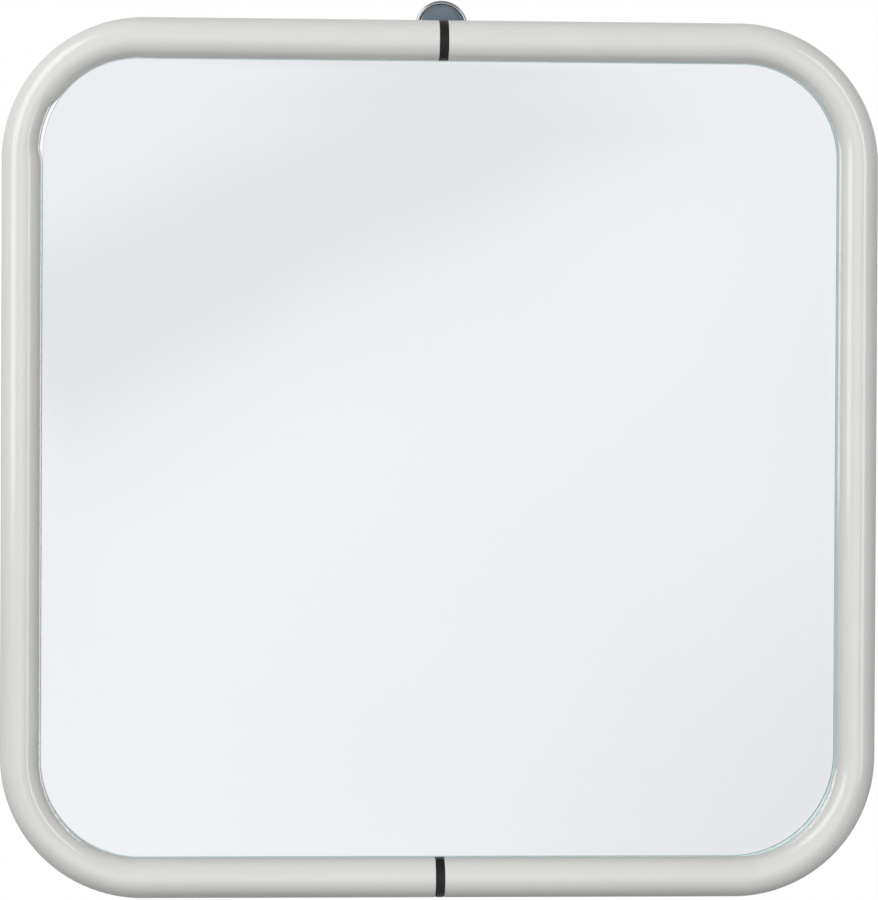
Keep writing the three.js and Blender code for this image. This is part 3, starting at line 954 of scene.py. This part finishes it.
def reflector_card():
    """White card behind the camera, which the pane reflects. A soft grey band falls across it, it
    dims towards its lower right, and small patches at the right and the upper left are a little
    darker. Only reflections see it."""
    mesh = bpy.data.meshes.new("reflector_card")
    low_x, high_x, low_z, high_z = -0.7, 1.05, -0.95, 0.8
    corners = [(low_x, 0, low_z), (high_x, 0, low_z), (high_x, 0, high_z), (low_x, 0, high_z)]
    mesh.from_pydata(corners, [], [(0, 1, 2, 3)])
    card = bpy.data.objects.new("reflector_card", mesh)
    bpy.context.scene.collection.objects.link(card)
    card.location = MIDDLE + Vector((0, -2.5, 0))
    material = bpy.data.materials.new("card_glow")
    material.use_nodes = True
    tree = material.node_tree
    tree.nodes.clear()
    maths = maths_for(tree)
    place = tree.nodes.new("ShaderNodeTexCoord").outputs["Object"]

    def distance_from(point, stretch):
        """Distance from a point of the card, after scaling x and z."""
        mapping = tree.nodes.new("ShaderNodeMapping")
        mapping.inputs["Location"].default_value = (-point[0] * stretch[0], 0, -point[1] * stretch[1])
        mapping.inputs["Scale"].default_value = (stretch[0], 0, stretch[1])
        tree.links.new(place, mapping.inputs["Vector"])
        length = tree.nodes.new("ShaderNodeVectorMath")
        length.operation = "LENGTH"
        tree.links.new(mapping.outputs["Vector"], length.inputs[0])
        return length.outputs["Value"]

    def soft(distance, width):
        """1 at distance 0, falling off like a bell."""
        ratio = maths("DIVIDE", distance, width)
        return maths("POWER", 2.718, maths("MULTIPLY", maths("MULTIPLY", ratio, ratio), -0.5))

    split = tree.nodes.new("ShaderNodeSeparateXYZ")
    tree.links.new(place, split.inputs["Vector"])
    slope = radians(29.5)
    across = maths("SUBTRACT", maths("MULTIPLY", split.outputs["Z"], cos(slope)),
                   maths("MULTIPLY", split.outputs["X"], sin(slope)))
    band = soft(maths("SUBTRACT", across, 0.195), 0.085)
    lower_right = soft(distance_from((0.75, -0.55), (1, 1)), 0.33)
    right = soft(distance_from((0.64, 0.12), (1, 0.7)), 0.1)
    upper_left = soft(distance_from((-0.23, 0.4), (1, 1)), 0.055)
    shade = maths("MULTIPLY", band, 0.127)
    for patch, depth in ((lower_right, 0.17), (right, 0.07), (upper_left, 0.08)):
        shade = maths("ADD", shade, maths("MULTIPLY", patch, depth))
    glow = tree.nodes.new("ShaderNodeEmission")
    glow.inputs["Color"].default_value = (0.975, 0.985, 1.0, 1)
    tree.links.new(maths("MULTIPLY", maths("SUBTRACT", 1.0, shade), 0.97), glow.inputs["Strength"])
    output = tree.nodes.new("ShaderNodeOutputMaterial")
    tree.links.new(glow.outputs["Emission"], output.inputs["Surface"])
    mesh.materials.append(material)
    card.visible_camera = False
    card.visible_shadow = False


def world():
    """White behind the object, and a plain studio's surroundings for light and gloss: brighter to
    the left, behind the object and above than below."""
    data = bpy.data.worlds.new("studio")
    bpy.context.scene.world = data
    data.use_nodes = True
    tree = data.node_tree
    tree.nodes.clear()
    maths = maths_for(tree)
    split = tree.nodes.new("ShaderNodeSeparateXYZ")
    tree.links.new(tree.nodes.new("ShaderNodeTexCoord").outputs["Generated"], split.inputs["Vector"])
    left = maths("MULTIPLY", maths("MAXIMUM", maths("MULTIPLY", split.outputs["X"], -1.0), 0.0), 0.42)
    back = maths("MULTIPLY", maths("MAXIMUM", split.outputs["Y"], 0.0), 0.4)
    height = maths("ADD", maths("MULTIPLY", split.outputs["Z"], 0.9), 0.75)
    height = maths("MINIMUM", maths("MAXIMUM", height, 0.25), 1.0)
    glow = maths("MULTIPLY", maths("ADD", maths("ADD", left, back), 0.3), height)
    room = tree.nodes.new("ShaderNodeBackground")
    room.inputs["Color"].default_value = (1.0, 0.997, 0.985, 1)
    tree.links.new(glow, room.inputs["Strength"])
    seen = tree.nodes.new("ShaderNodeBackground")
    seen.inputs["Color"].default_value = (1, 1, 1, 1)
    mix = tree.nodes.new("ShaderNodeMixShader")
    tree.links.new(tree.nodes.new("ShaderNodeLightPath").outputs["Is Camera Ray"], mix.inputs["Fac"])
    tree.links.new(room.outputs["Background"], mix.inputs[1])
    tree.links.new(seen.outputs["Background"], mix.inputs[2])
    output = tree.nodes.new("ShaderNodeOutputWorld")
    tree.links.new(mix.outputs["Shader"], output.inputs["Surface"])


def floor():
    """Plain pale floor, a hand's breadth below the hanging mirror."""
    bm = bmesh.new()
    bmesh.ops.create_circle(bm, cap_ends=True, segments=96, radius=1.4)
    mesh = bpy.data.meshes.new("floor")
    bm.to_mesh(mesh)
    bm.free()
    m = Nodes("pale_floor")
    m.colour(m.ramp(m.noise(3, 3), [(0.3, (0.8, 0.8, 0.79)), (0.7, (0.84, 0.84, 0.835))]))
    m.rough(m.spread(m.noise(8, 2), 0.6, 0.7, 0.3, 0.7))
    mesh.materials.append(m.material)
    obj = bpy.data.objects.new("floor", mesh)
    bpy.context.scene.collection.objects.link(obj)
    obj.location = (0, AXIS_Y, cad_low.z - 0.3)
    obj.visible_diffuse = False


camera()
world()
floor()
reflector_card()
softbox("left_softbox", -51, 26, 1.95, (0.95, 2.1), 2.6)
softbox("right_softbox", 38, 12, 2.1, (0.5, 2.0), 3.0)
# The fill lights the undersides, and nothing mirrors it
fill = softbox("front_softbox", 0, -18, 2.3, (1.4, 1.4), 3.0)
fill.visible_glossy = False
fill.visible_transmission = False
fill.visible_camera = False

scene = bpy.context.scene
scene.view_settings.view_transform = "Standard"
scene.view_settings.look = "None"
